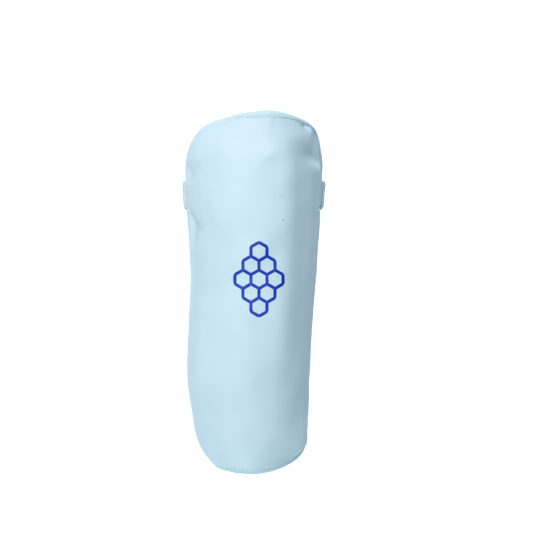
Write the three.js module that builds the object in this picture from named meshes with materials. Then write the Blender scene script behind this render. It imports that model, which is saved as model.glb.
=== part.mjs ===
import * as THREE from "three";
import { mergeVertices } from "three/addons/utils/BufferGeometryUtils.js";

// A cricket arm guard: a padded shell, arched to lie over a forearm, with two elastic straps behind it.
// It lies on its straps with its face up. X runs across the arm, +Y to the elbow end, and +Z out of the face.

// Driving sizes, in millimetres and degrees
const GUARD_LENGTH = 260;
const GUARD_WIDTH = 99;
const ARCH_HALF_ANGLE = 64;
const PAD_THICKNESS = 15;
const RIM_THICKNESS = 9;
const CROWN_REACH = 40;
const BACK_WALL = 2;
const SEAM_MOUTH = 1.4;
const DENT_FADE = 8;
const PIECE_GAP = 0.3;
const STRAP_WIDTH = 20;
const STRAP_THICKNESS = 1.5;
const STRAP_LAP = 38;
const LAP_END = 22;
const STEP_RUN = 7;
const FASTENER_THICKNESS = 2;
const FASTENER_WIDTH = 17;

// How finely the curved surfaces are faceted
const SIDE_STEPS = 24;
const CAP_STEPS = 26;
const STRAP_CURVE_STEPS = 10;
const STEP_CURVE_STEPS = 5;

// The guard's left and right edges from above, as shares of its half length and half width
const SIDES = [
  { along: -1.0, left: -0.77, right: 0.74 },
  { along: -0.708, left: -0.875, right: 0.789 },
  { along: -0.598, left: -0.925, right: 0.803 },
  { along: -0.515, left: -0.955, right: 0.805 },
  { along: -0.4325, left: -0.965, right: 0.818 },
  { along: -0.322, left: -0.962, right: 0.832 },
  { along: -0.212, left: -0.948, right: 0.847 },
  { along: -0.102, left: -0.933, right: 0.868 },
  { along: 0.008, left: -0.919, right: 0.89 },
  { along: 0.118, left: -0.919, right: 0.919 },
  { along: 0.229, left: -0.933, right: 0.933 },
  { along: 0.339, left: -0.948, right: 0.955 },
  { along: 0.438, left: -0.968, right: 0.972 },
  { along: 0.537, left: -0.98, right: 0.985 },
  { along: 0.697, left: -0.991, right: 1.0 },
  { along: 1.0, left: -0.98, right: 0.99 },
];

// Each rounded end from above: its reach from the end of the spine at each turn from the right edge,
// as a share of the half width
const ELBOW_END = [
  { turn: 0, reach: 0.996 },
  { turn: 15, reach: 1.004 },
  { turn: 30, reach: 1.045 },
  { turn: 38, reach: 1.023 },
  { turn: 50, reach: 0.94 },
  { turn: 62, reach: 0.881 },
  { turn: 76, reach: 0.825 },
  { turn: 90, reach: 0.781 },
  { turn: 105, reach: 0.781 },
  { turn: 120, reach: 0.8075 },
  { turn: 135, reach: 0.886 },
  { turn: 145, reach: 0.945 },
  { turn: 160, reach: 0.977 },
  { turn: 180, reach: 0.996 },
];
const WRIST_END = [
  { turn: 0, reach: 0.832 },
  { turn: 10, reach: 0.838 },
  { turn: 20, reach: 0.861 },
  { turn: 30, reach: 0.895 },
  { turn: 41, reach: 0.883 },
  { turn: 52, reach: 0.845 },
  { turn: 66, reach: 0.803 },
  { turn: 80, reach: 0.783 },
  { turn: 96, reach: 0.777 },
  { turn: 112, reach: 0.805 },
  { turn: 125, reach: 0.845 },
  { turn: 135, reach: 0.834 },
  { turn: 148, reach: 0.832 },
  { turn: 163, reach: 0.822 },
  { turn: 180, reach: 0.832 },
];

// How far the seam is rolled from the rim towards the face, as a share of the rim's radius, by place round it:
// 0 is the right edge at the wrist end, 1 its elbow end, 2 and 3 the same on the left edge, and 4 is 0 again
const SEAM_ROLL = [
  { place: 0.0, roll: -0.6 },
  { place: 0.08, roll: -1.1 },
  { place: 0.24, roll: -1.2 },
  { place: 0.5, roll: -0.7 },
  { place: 0.8, roll: -0.5 },
  { place: 0.95, roll: -0.3 },
  { place: 1.02, roll: 0.03 },
  { place: 1.1, roll: 0.1 },
  { place: 1.18, roll: 0.0 },
  { place: 1.25, roll: -0.15 },
  { place: 1.3, roll: -0.05 },
  { place: 1.39, roll: 0.2 },
  { place: 1.45, roll: 0.12 },
  { place: 1.52, roll: -0.04 },
  { place: 1.61, roll: -0.45 },
  { place: 1.75, roll: -1.0 },
  { place: 1.9, roll: -0.7 },
  { place: 2.0, roll: -0.6 },
  { place: 2.3, roll: -0.55 },
  { place: 2.5, roll: -0.7 },
  { place: 2.76, roll: -1.0 },
  { place: 2.92, roll: -1.0 },
  { place: 3.05, roll: -0.6 },
  { place: 3.25, roll: -0.5 },
  { place: 3.5, roll: -0.34 },
  { place: 3.75, roll: -0.45 },
  { place: 4.0, roll: -0.6 },
];

// Dents and bulges of the face: centre as shares of the arch's half angle and of the half length, reach across
// and along as shares of the guard's width, turn in degrees, and depth as a share of the pad's thickness
const DENTS = [
  { across: 0.66, along: 0.79, reachAcross: 0.085, reachAlong: 0.075, turn: -20, depth: 0.2 },
  { across: 0.8, along: 0.7, reachAcross: 0.12, reachAlong: 0.045, turn: -24, depth: -0.11 },
  { across: 0.6, along: 0.925, reachAcross: 0.05, reachAlong: 0.03, turn: -25, depth: 0.12 },
  { across: 0.68, along: 0.895, reachAcross: 0.03, reachAlong: 0.05, turn: 10, depth: -0.08 },
  { across: 0.47, along: 0.55, reachAcross: 0.13, reachAlong: 0.04, turn: 15, depth: 0.03 },
  { across: 0.84, along: 0.41, reachAcross: 0.06, reachAlong: 0.05, turn: 25, depth: 0.07 },
  { across: -0.8, along: 0.68, reachAcross: 0.1, reachAlong: 0.06, turn: 12, depth: 0.11 },
  { across: -0.85, along: 0.61, reachAcross: 0.07, reachAlong: 0.03, turn: 0, depth: -0.06 },
  { across: -0.76, along: 0.385, reachAcross: 0.11, reachAlong: 0.045, turn: -40, depth: 0.12 },
  { across: -0.86, along: -0.57, reachAcross: 0.06, reachAlong: 0.04, turn: -20, depth: 0.05 },
];

// The two straps: place along the guard as a share of its half length, and how far each side bulges off the rim
// as a share of the strap's thickness
const STRAPS = [
  { name: "upper", along: 0.538, leftBulge: 1.1, rightBulge: 0.8 },
  { name: "lower", along: -0.485, leftBulge: 0.15, rightBulge: 0 },
];

const DEGREE = Math.PI / 180;
const HALF_LENGTH = GUARD_LENGTH / 2;
const HALF_WIDTH = GUARD_WIDTH / 2;
const HALF_ANGLE = ARCH_HALF_ANGLE * DEGREE;
const RIM_RADIUS = RIM_THICKNESS / 2;
const RIM_ROUND = Math.PI * RIM_RADIUS; // the arc from the face round the rim to the back
const WIDEST_HEIGHT = RIM_RADIUS * (1 + Math.sin(HALF_ANGLE)); // where the rim faces sideways
const WIDEST_INSET = RIM_RADIUS * (1 - Math.cos(HALF_ANGLE));
const SEAM_TUCK = 0.6 * BACK_WALL; // how deep the seam is drawn in
const SEAM_SIDE = PIECE_GAP / 2; // each panel stops this far from the seam's middle
const SPINE_WRIST = SIDES[1].along;
const SPINE_ELBOW = SIDES[SIDES.length - 2].along;

// A smooth curve through a column of a table, read at one value of its key
function smoothAt(table, key, column, at) {
  let i = 0;
  while (i < table.length - 2 && at > table[i + 1][key]) i += 1;
  const rise = (j) => {
    const low = table[Math.max(j - 1, 0)];
    const high = table[Math.min(j + 1, table.length - 1)];
    return (high[column] - low[column]) / (high[key] - low[key]);
  };
  const [start, end] = [table[i], table[i + 1]];
  const span = end[key] - start[key];
  const u = THREE.MathUtils.clamp((at - start[key]) / span, 0, 1);
  const [u2, u3] = [u * u, u * u * u];
  return (
    (2 * u3 - 3 * u2 + 1) * start[column] +
    (u3 - 2 * u2 + u) * span * rise(i) +
    (3 * u2 - 2 * u3) * end[column] +
    (u3 - u2) * span * rise(i + 1)
  );
}

// The arch across the guard at one place along it: its middle, half width and inner radius
function archAt(y) {
  const share = y / HALF_LENGTH;
  const left = smoothAt(SIDES, "along", "left", share) * HALF_WIDTH;
  const right = smoothAt(SIDES, "along", "right", share) * HALF_WIDTH;
  const half = (right - left) / 2;
  const inner = half / Math.sin(HALF_ANGLE - WIDEST_INSET / half) - WIDEST_HEIGHT;
  return { middle: (left + right) / 2, half, inner, axis: -inner * Math.cos(HALF_ANGLE) };
}

// A point of the guard: angle is measured from the crest, and height from the back surface
function bent(angle, y, height) {
  const arch = archAt(y);
  const radius = arch.inner + height;
  return new THREE.Vector3(
    arch.middle + radius * Math.sin(angle),
    y,
    arch.axis + radius * Math.cos(angle),
  );
}

// One place on the rim, with the way from it to the spine
function rimPlace(place, edge, spineY, sideways) {
  const arch = archAt(edge.y);
  const wide = arch.inner + WIDEST_HEIGHT;
  const sine = THREE.MathUtils.clamp((edge.x - arch.middle) / wide, -1, 1);
  const angle = Math.asin(sine) + (WIDEST_INSET / arch.half) * sideways;
  const reach = Math.hypot(angle * (arch.inner + RIM_RADIUS), edge.y - spineY);
  const roll = smoothAt(SEAM_ROLL, "place", "roll", place) * RIM_RADIUS;
  return { angle, y: edge.y, spineY, reach, roll };
}

function sidePlace(side, share) {
  const y = THREE.MathUtils.lerp(SPINE_WRIST, SPINE_ELBOW, share) * HALF_LENGTH;
  const arch = archAt(y);
  const edge = { x: arch.middle + side * arch.half, y };
  return rimPlace(side > 0 ? share : 3 - share, edge, y, side);
}

function endPlace(table, end, spineShare, share) {
  const turn = end > 0 ? 180 * share : 180 * (1 - share);
  const reach = smoothAt(table, "turn", "reach", turn) * HALF_WIDTH;
  const spineY = spineShare * HALF_LENGTH;
  const edge = {
    x: archAt(spineY).middle + reach * Math.cos(turn * DEGREE),
    y: spineY + end * reach * Math.sin(turn * DEGREE),
  };
  return rimPlace((end > 0 ? 1 : 3) + share, edge, spineY, Math.cos(turn * DEGREE));
}

// The rim, anticlockwise from above: right edge, elbow end, left edge, wrist end
function rimPlaces() {
  const places = [];
  for (let i = 0; i < SIDE_STEPS; i += 1) places.push(sidePlace(1, i / SIDE_STEPS));
  for (let i = 0; i < CAP_STEPS; i += 1) places.push(endPlace(ELBOW_END, 1, SPINE_ELBOW, i / CAP_STEPS));
  for (let i = 0; i < SIDE_STEPS; i += 1) places.push(sidePlace(-1, 1 - i / SIDE_STEPS));
  for (let i = 0; i < CAP_STEPS; i += 1) places.push(endPlace(WRIST_END, -1, SPINE_WRIST, i / CAP_STEPS));
  return places;
}

// How deep the face is dented at an angle and a place along the guard
function dentAt(angle, y) {
  const radius = archAt(y).inner + PAD_THICKNESS;
  return DENTS.reduce((sum, dent) => {
    const across = (angle - dent.across * HALF_ANGLE) * radius;
    const away = y - dent.along * HALF_LENGTH;
    const [cos, sin] = [Math.cos(dent.turn * DEGREE), Math.sin(dent.turn * DEGREE)];
    const u = (across * cos + away * sin) / (dent.reachAcross * GUARD_WIDTH);
    const v = (away * cos - across * sin) / (dent.reachAlong * GUARD_WIDTH);
    return sum + dent.depth * PAD_THICKNESS * Math.exp(-(u * u + v * v) / 2);
  }, 0);
}

// The pad's section near the rim. The way runs over the face (above 0), round the rim (to -RIM_ROUND) and
// over the back. It gives the distance in from the rim, the height over the back and the surface's normal
function section(rim, way) {
  if (way > 0) {
    const crown = Math.min(CROWN_REACH, rim.reach - RIM_RADIUS);
    const u = Math.min(way / crown, 1);
    const rise = PAD_THICKNESS - RIM_THICKNESS;
    const slope = (2 * rise * (1 - u)) / crown;
    const size = Math.hypot(slope, 1);
    return {
      inset: RIM_RADIUS + way,
      height: RIM_THICKNESS + rise * (1 - (1 - u) ** 2),
      normal: [-slope / size, 1 / size],
    };
  }
  if (way >= -RIM_ROUND) {
    const turn = Math.PI / 2 + way / RIM_RADIUS;
    return {
      inset: RIM_RADIUS * (1 - Math.cos(turn)),
      height: RIM_RADIUS * (1 + Math.sin(turn)),
      normal: [-Math.cos(turn), Math.sin(turn)],
    };
  }
  return { inset: RIM_RADIUS - way - RIM_ROUND, height: 0, normal: [0, -1] };
}

// A point at a depth under the pad's surface. The dents fade out at the seam
function padPoint(rim, way, depth) {
  const { inset, height, normal } = section(rim, way);
  const share = (inset - depth * normal[0]) / rim.reach;
  const angle = rim.angle * (1 - share);
  const y = THREE.MathUtils.lerp(rim.y, rim.spineY, share);
  const dented = THREE.MathUtils.smoothstep(way - rim.roll, SEAM_MOUTH, DENT_FADE);
  return bent(angle, y, height - depth * normal[1] - dented * dentAt(angle, y));
}

const wayOverFace = (rim, inset) => Math.min(inset, rim.reach) - RIM_RADIUS;
const wayOverBack = (rim, inset) => -RIM_ROUND - (Math.min(inset, rim.reach) - RIM_RADIUS);

// Joins rings of points into one closed body. The first and last ring lie on the spine. Facing surfaces are
// split along the same diagonal, so that they stay apart
function closedBody(rings, otherDiagonal = false) {
  const positions = [];
  const triangle = (a, b, c) => {
    const flat = new THREE.Triangle(a, b, c);
    if (flat.getArea() > 1e-6) [a, b, c].forEach((p) => positions.push(p.x, p.y, p.z));
  };
  for (let k = 0; k < rings.length - 1; k += 1) {
    const [inner, outer] = [rings[k], rings[k + 1]];
    inner.forEach((_, i) => {
      const j = (i + 1) % inner.length;
      const [last, first] = otherDiagonal ? [inner[j], outer[i]] : [outer[j], inner[i]];
      triangle(inner[i], outer[i], last);
      triangle(first, outer[j], inner[j]);
    });
  }
  const geometry = new THREE.BufferGeometry();
  geometry.setAttribute("position", new THREE.Float32BufferAttribute(positions, 3));
  return mergeVertices(geometry, 1e-3);
}

const PLACES = rimPlaces();
const ring = (point) => PLACES.map(point);

// The ways of the back panel's rings, from the seam round the rim and over the back to the spine
function backWays(rim, seamWay) {
  const roundRim = [0.2, 0.4, 0.6, 0.8, 1].map((u) => THREE.MathUtils.lerp(seamWay, -RIM_ROUND, u));
  const overBack = [0.3, 0.65, 1].map((u) => wayOverBack(rim, THREE.MathUtils.lerp(RIM_RADIUS, rim.reach, u)));
  return [...roundRim, ...overBack];
}
const BACK_RINGS = 8;

// The face with its padding, down to the back panel
function facePad() {
  const faceShares = [1, 0.86, 0.72, 0.59, 0.46, 0.34, 0.24];
  const rings = faceShares.map((share) => ring((rim) => padPoint(rim, wayOverFace(rim, rim.reach * share), 0)));
  const lastShare = faceShares[faceShares.length - 1];
  for (const u of [0.6, 0.25, 0]) {
    rings.push(ring((rim) => {
      const way = THREE.MathUtils.lerp(rim.roll + SEAM_MOUTH, wayOverFace(rim, rim.reach * lastShare), u);
      return padPoint(rim, way, 0);
    }));
  }
  rings.push(ring((rim) => padPoint(rim, rim.roll + SEAM_SIDE, SEAM_TUCK)));
  rings.push(ring((rim) => padPoint(rim, rim.roll + SEAM_SIDE, BACK_WALL + PIECE_GAP)));
  for (let k = 0; k < BACK_RINGS; k += 1) {
    rings.push(ring((rim) => padPoint(rim, backWays(rim, rim.roll - SEAM_SIDE)[k], BACK_WALL + PIECE_GAP)));
  }
  return closedBody(rings);
}

// The back panel: a wall over the back that wraps the rim up to the seam
function backPanel() {
  const rings = [];
  for (let k = BACK_RINGS - 1; k >= 0; k -= 1) {
    rings.push(ring((rim) => padPoint(rim, backWays(rim, rim.roll - SEAM_SIDE)[k], BACK_WALL)));
  }
  rings.push(ring((rim) => padPoint(rim, rim.roll - SEAM_SIDE, BACK_WALL)));
  rings.push(ring((rim) => padPoint(rim, rim.roll - SEAM_SIDE, SEAM_TUCK)));
  rings.push(ring((rim) => padPoint(rim, rim.roll - SEAM_MOUTH, 0)));
  for (let k = 0; k < BACK_RINGS; k += 1) {
    rings.push(ring((rim) => padPoint(rim, backWays(rim, rim.roll - SEAM_MOUTH)[k], 0)));
  }
  return closedBody(rings, true);
}

// How far the rim's lowest point lies under the height that the arch is drawn from
function rimDrop() {
  const heights = PLACES.flatMap((rim) => backWays(rim, rim.roll).map((way) => padPoint(rim, way, 0).z));
  return -Math.min(...heights);
}
const RIM_LIFT = rimDrop() + STRAP_THICKNESS + PIECE_GAP;

// A strap's line from the seam round the rim and down to the floor, at one place along the guard. The line is
// the middle of the strap, and it stands off the rim by the bulge between its ends
function rootLine(side, y, bulge) {
  const share = (y / HALF_LENGTH - SPINE_WRIST) / (SPINE_ELBOW - SPINE_WRIST);
  const rim = sidePlace(side, share);
  const centre = padPoint(rim, -RIM_ROUND / 2, RIM_RADIUS);
  const seam = padPoint(rim, rim.roll - SEAM_MOUTH, 0);
  const start = Math.atan2(seam.z - centre.z, side * (seam.x - centre.x));
  const floor = STRAP_THICKNESS / 2;
  const close = RIM_RADIUS + PIECE_GAP + floor;
  const sag = centre.z + RIM_LIFT - close - floor; // from under the rim to the floor
  const line = [];
  for (let i = 0; i <= STRAP_CURVE_STEPS; i += 1) {
    const u = i / STRAP_CURVE_STEPS;
    const turn = THREE.MathUtils.lerp(start, -Math.PI / 2, u);
    const out = close * Math.cos(turn) + bulge * STRAP_THICKNESS * Math.sin(Math.PI * u);
    const z = centre.z + RIM_LIFT - sag * u + close * Math.sin(turn);
    line.push(new THREE.Vector2(centre.x + side * out, z));
  }
  return line;
}

// The closed outline of a band of even thickness along a line
function bandOutline(line, thickness) {
  const across = (i) => {
    const run = line[i + 1].clone().sub(line[i]).normalize();
    return new THREE.Vector2(-run.y, run.x);
  };
  const sides = [1, -1].map((side) =>
    line.map((point, i) => {
      const before = across(Math.max(i - 1, 0));
      const after = across(Math.min(i, line.length - 2));
      const corner = before.clone().add(after).divideScalar(1 + before.dot(after));
      return corner.multiplyScalar((side * thickness) / 2).add(point);
    }),
  );
  return [...sides[0], ...sides[1].reverse()];
}

// A bar along Y through the same outline at each station
function barThrough(stations) {
  const flat = stations[0].outline;
  const faces = THREE.ShapeUtils.triangulateShape(flat, []);
  const forward = THREE.ShapeUtils.area(flat) > 0;
  const positions = [];
  const push = (a, b, c) => [a, b, c].forEach((p) => positions.push(p.x, p.y, p.z));
  const at = (k, i) => {
    const { outline, y } = stations[k];
    const point = outline[i % outline.length];
    return new THREE.Vector3(point.x, y, point.y);
  };
  const last = stations.length - 1;
  for (const [a, b, c] of faces) {
    push(at(0, a), at(0, b), at(0, c));
    push(at(last, c), at(last, b), at(last, a));
  }
  for (let k = 0; k < last; k += 1) {
    flat.forEach((_, i) => {
      const [p, q, r, s] = [at(k, i), at(k, i + 1), at(k + 1, i + 1), at(k + 1, i)];
      if (forward) {
        push(p, r, q);
        push(p, s, r);
      } else {
        push(p, q, r);
        push(p, r, s);
      }
    });
  }
  const geometry = new THREE.BufferGeometry();
  geometry.setAttribute("position", new THREE.Float32BufferAttribute(positions, 3));
  return mergeVertices(geometry, 1e-3);
}

const stationsOf = (y, width, outlineAt) =>
  [-0.5, 0, 0.5].map((share) => ({ y: y + share * width, outline: outlineAt(y + share * width) }));

// The long end of a strap: from the left seam, under the guard, flat on the floor
function strap(y, bulge) {
  return barThrough(stationsOf(y, STRAP_WIDTH, (at) => {
    const line = rootLine(-1, at, bulge);
    line.push(new THREE.Vector2(LAP_END, STRAP_THICKNESS / 2));
    return bandOutline(line, STRAP_THICKNESS);
  }));
}

// The short end: from the right seam, under the rim, then up a step to lie over the long end
function strapTab(y, bulge) {
  const low = STRAP_THICKNESS / 2;
  const high = low + STRAP_THICKNESS + FASTENER_THICKNESS + 2 * PIECE_GAP;
  const stepAt = LAP_END + STRAP_THICKNESS + STEP_RUN;
  return barThrough(stationsOf(y, STRAP_WIDTH, (at) => {
    const line = rootLine(1, at, bulge);
    const step = new THREE.CubicBezierCurve(
      new THREE.Vector2(stepAt, low),
      new THREE.Vector2(stepAt - STEP_RUN / 2, low),
      new THREE.Vector2(stepAt - STEP_RUN / 2, high),
      new THREE.Vector2(stepAt - STEP_RUN, high),
    );
    line.push(...step.getPoints(STEP_CURVE_STEPS));
    line.push(new THREE.Vector2(LAP_END - STRAP_LAP, high));
    return bandOutline(line, STRAP_THICKNESS);
  }));
}

// The closed hook-and-loop patch between the two ends
function fastener(y) {
  const low = STRAP_THICKNESS + PIECE_GAP;
  const geometry = new THREE.BoxGeometry(STRAP_LAP - 2 * PIECE_GAP, FASTENER_WIDTH, FASTENER_THICKNESS);
  geometry.translate(LAP_END - STRAP_LAP / 2, y, low + FASTENER_THICKNESS / 2);
  return geometry;
}

const leatherCloth = new THREE.MeshStandardMaterial({ color: 0xd4ecf7, roughness: 0.45, metalness: 0 });
const backCloth = new THREE.MeshStandardMaterial({ color: 0xcde4ef, roughness: 0.6, metalness: 0 });
const elastic = new THREE.MeshStandardMaterial({ color: 0xdde9ee, roughness: 0.85, metalness: 0 });
const hookTape = new THREE.MeshStandardMaterial({ color: 0xe6ebec, roughness: 0.95, metalness: 0 });

const guard = new THREE.Group();

function add(name, geometry, material, lift = 0) {
  const mesh = new THREE.Mesh(geometry, material);
  mesh.name = name;
  mesh.position.z = lift;
  guard.add(mesh);
}

add("face_pad", facePad(), leatherCloth, RIM_LIFT);
add("back_panel", backPanel(), backCloth, RIM_LIFT);

for (const { name, along, leftBulge, rightBulge } of STRAPS) {
  const y = along * HALF_LENGTH;
  add(`${name}_strap`, strap(y, leftBulge), elastic);
  add(`${name}_strap_tab`, strapTab(y, rightBulge), elastic);
  add(`${name}_fastener`, fastener(y), hookTape);
}

// The origin is the middle of the guard's box, on the surface that it lies on
const box = new THREE.Box3().setFromObject(guard);
const middle = box.getCenter(new THREE.Vector3());
guard.position.set(-middle.x, -middle.y, -box.min.z);

export default guard;
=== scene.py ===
import math
from functools import lru_cache

import bmesh
import bpy
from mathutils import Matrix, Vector, noise
from mathutils.bvhtree import BVHTree
from mathutils.kdtree import KDTree


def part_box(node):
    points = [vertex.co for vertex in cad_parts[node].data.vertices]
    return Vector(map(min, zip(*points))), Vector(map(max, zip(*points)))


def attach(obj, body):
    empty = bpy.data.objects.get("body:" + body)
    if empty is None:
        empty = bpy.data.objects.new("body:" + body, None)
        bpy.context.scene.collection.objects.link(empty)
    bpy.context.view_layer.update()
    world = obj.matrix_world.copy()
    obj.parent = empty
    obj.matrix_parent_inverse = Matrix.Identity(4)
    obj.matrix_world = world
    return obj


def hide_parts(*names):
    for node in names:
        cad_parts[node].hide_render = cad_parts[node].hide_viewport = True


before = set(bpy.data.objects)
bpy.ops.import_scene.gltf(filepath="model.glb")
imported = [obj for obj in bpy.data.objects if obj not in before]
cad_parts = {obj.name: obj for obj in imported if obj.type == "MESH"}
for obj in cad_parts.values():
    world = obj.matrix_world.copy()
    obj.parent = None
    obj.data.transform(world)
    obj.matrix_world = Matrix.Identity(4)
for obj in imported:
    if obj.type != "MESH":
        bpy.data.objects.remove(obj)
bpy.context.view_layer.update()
scene = bpy.context.scene
print("frame loaded:", ", ".join(sorted(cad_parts)))

# Lengths in the dictionaries are millimetres, and the frame is in metres
mm = 0.001

# The guard's form, the same as the solid's. It is drawn about its own spine and then shifted into the frame.
# A place round the rim is 0 on the right edge at the wrist end and 1 at its elbow end, 2 and 3 are the same on
# the left, and 4 is 0 again
guard = {
    "halfLength": 130.0,
    "halfWidth": 49.5,
    "archHalfAngle": 64.0,
    "padThickness": 15.0,
    "rimRadius": 4.5,
    # place round the rim, how far in the foam reaches its full thickness, share of the rise that is a wide dome
    "crown": [
        (0.0, 44.0, 0.7), (0.3, 40.0, 0.5), (0.9, 40.0, 0.5), (1.2, 40.0, 0.6), (1.5, 42.0, 0.75),
        (1.8, 40.0, 0.6), (2.1, 40.0, 0.5), (2.7, 40.0, 0.5), (3.0, 44.0, 0.7), (3.3, 60.0, 1.0),
        (3.7, 60.0, 1.0), (4.0, 44.0, 0.7),
    ],
    "shoulderReach": 0.5,  # the rest of the rise is a shoulder, over this share of the same reach
    "backWall": 2.0,
    # place round the rim, how deep the seam is drawn in there
    "seamTuck": [
        (0.0, 0.7), (0.5, 0.8), (0.78, 0.9), (0.83, 2.4), (0.87, 2.4), (0.92, 0.9), (1.02, 1.2), (1.15, 1.4),
        (1.23, 1.4), (1.28, 1.0), (1.34, 0.65), (1.42, 0.4), (1.5, 0.35), (1.8, 0.3), (2.1, 0.4), (2.5, 0.4),
        (3.2, 0.2), (3.6, 0.2), (4.0, 0.6),
    ],
    "lip": 1.0,  # how far from the seam each cover starts to roll into it, as a share of the depth
    # The face is flatter in the middle and turns down at two soft shoulders: along, rise at the left and right
    "shoulders": [
        (-1.0, 0.3, 0.2), (-0.8, 0.5, 0.5), (-0.55, 0.8, 1.5), (-0.25, 1.1, 2.8), (0.2, 1.1, 3.0),
        (0.6, 1.1, 2.8), (0.85, 0.8, 1.8), (1.0, 0.5, 0.4),
    ],
    "shoulderAt": 0.37,  # place of the shoulders as a share of the arch's half angle
    "shoulderSoftness": 0.07,
    "sideSteps": 130,
    "capSteps": 110,
    # along, left edge, right edge, as shares of the half length and the half width
    "sides": [
        (-1.0, -0.77, 0.74), (-0.708, -0.875, 0.789), (-0.598, -0.925, 0.803), (-0.515, -0.955, 0.805),
        (-0.4325, -0.965, 0.818), (-0.322, -0.962, 0.832), (-0.212, -0.948, 0.847), (-0.102, -0.933, 0.868),
        (0.008, -0.919, 0.89), (0.118, -0.919, 0.919), (0.229, -0.933, 0.933), (0.339, -0.948, 0.955),
        (0.438, -0.968, 0.972), (0.537, -0.98, 0.985), (0.697, -0.991, 1.0), (1.0, -0.98, 0.99),
    ],
    # turn from the right edge in degrees, reach from the end of the spine as a share of the half width
    "elbowEnd": [
        (0, 0.996), (15, 1.004), (30, 1.045), (38, 1.023), (50, 0.94), (62, 0.881), (76, 0.825),
        (90, 0.781), (105, 0.781), (120, 0.8075), (135, 0.886), (145, 0.945), (160, 0.977), (180, 0.996),
    ],
    "wristEnd": [
        (0, 0.832), (10, 0.838), (20, 0.861), (30, 0.895), (41, 0.883), (52, 0.845), (66, 0.803), (80, 0.783),
        (96, 0.777), (112, 0.805), (125, 0.845), (135, 0.834), (148, 0.832), (163, 0.822), (180, 0.832),
    ],
    # place round the rim, roll of the seam towards the face as a share of the rim's radius
    "seamRoll": [
        (0.0, -0.6), (0.08, -1.1), (0.24, -1.2), (0.5, -0.8), (0.8, -0.85), (0.9, -0.85), (0.96, -0.35),
        (1.02, 0.03), (1.1, 0.1), (1.18, 0.0), (1.25, -0.15), (1.3, -0.05), (1.39, 0.2), (1.45, 0.12),
        (1.52, -0.04), (1.61, -0.45), (1.75, -1.0), (1.9, -0.7), (2.0, -0.6), (2.3, -0.55), (2.5, -0.7),
        (2.76, -1.0), (2.92, -1.0), (3.05, -0.6), (3.25, -0.5), (3.5, -0.34), (3.75, -0.45), (4.0, -0.6),
    ],
}
halfAngle = math.radians(guard["archHalfAngle"])
rimRadius = guard["rimRadius"]
rimRound = math.pi * rimRadius
widestHeight = rimRadius * (1 + math.sin(halfAngle))
widestInset = rimRadius * (1 - math.cos(halfAngle))
spineWrist = guard["sides"][1][0]
spineElbow = guard["sides"][-2][0]


def mix(a, b, share):
    return a + (b - a) * share


def smooth(value, low, high):
    u = min(max((value - low) / (high - low), 0.0), 1.0)
    return u * u * (3 - 2 * u)


def smoothAt(rows, column, at):
    i = 0
    while i < len(rows) - 2 and at > rows[i + 1][0]:
        i += 1

    def rise(j):
        low, high = rows[max(j - 1, 0)], rows[min(j + 1, len(rows) - 1)]
        return (high[column] - low[column]) / (high[0] - low[0])

    span = rows[i + 1][0] - rows[i][0]
    u = min(max((at - rows[i][0]) / span, 0.0), 1.0)
    start = (2 * u**3 - 3 * u**2 + 1) * rows[i][column] + (u**3 - 2 * u**2 + u) * span * rise(i)
    end = (3 * u**2 - 2 * u**3) * rows[i + 1][column] + (u**3 - u**2) * span * rise(i + 1)
    return start + end


@lru_cache(maxsize=None)
def archAt(y):
    share = y / guard["halfLength"]
    left = smoothAt(guard["sides"], 1, share) * guard["halfWidth"]
    right = smoothAt(guard["sides"], 2, share) * guard["halfWidth"]
    half = (right - left) / 2
    inner = half / math.sin(halfAngle - widestInset / half) - widestHeight
    return (left + right) / 2, half, inner, -inner * math.cos(halfAngle)


def bent(angle, y, height):
    middle, _, inner, axis = archAt(y)
    radius = inner + height
    return Vector((middle + radius * math.sin(angle), y, axis + radius * math.cos(angle)))


def rimPlace(place, x, y, spineY, sideways):
    middle, half, inner, _ = archAt(y)
    sine = min(max((x - middle) / (inner + widestHeight), -1.0), 1.0)
    angle = math.asin(sine) + widestInset / half * sideways
    reach = math.hypot(angle * (inner + rimRadius), y - spineY)
    roll = smoothAt(guard["seamRoll"], 1, place) * rimRadius
    rim = {"angle": angle, "y": y, "spineY": spineY, "reach": reach, "roll": roll}
    rim["crown"] = min(smoothAt(guard["crown"], 1, place), reach - rimRadius)
    rim["wide"] = smoothAt(guard["crown"], 2, place)
    rim["tuck"] = smoothAt(guard["seamTuck"], 1, place)
    return rim


def sidePlace(side, share):
    y = mix(spineWrist, spineElbow, share) * guard["halfLength"]
    middle, half, _, _ = archAt(y)
    return rimPlace(share if side > 0 else 3 - share, middle + side * half, y, y, side)


def endPlace(rows, end, spineShare, share):
    turn = 180 * share if end > 0 else 180 * (1 - share)
    reach = smoothAt(rows, 1, turn) * guard["halfWidth"]
    spineY = spineShare * guard["halfLength"]
    cos, sin = math.cos(math.radians(turn)), math.sin(math.radians(turn))
    x = archAt(spineY)[0] + reach * cos
    return rimPlace((1 if end > 0 else 3) + share, x, spineY + end * reach * sin, spineY, cos)


def rimPlaces(sideSteps, capSteps):
    places = [sidePlace(1, i / sideSteps) for i in range(sideSteps)]
    places += [endPlace(guard["elbowEnd"], 1, spineElbow, i / capSteps) for i in range(capSteps)]
    places += [sidePlace(-1, 1 - i / sideSteps) for i in range(sideSteps)]
    places += [endPlace(guard["wristEnd"], -1, spineWrist, i / capSteps) for i in range(capSteps)]
    return places


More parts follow.
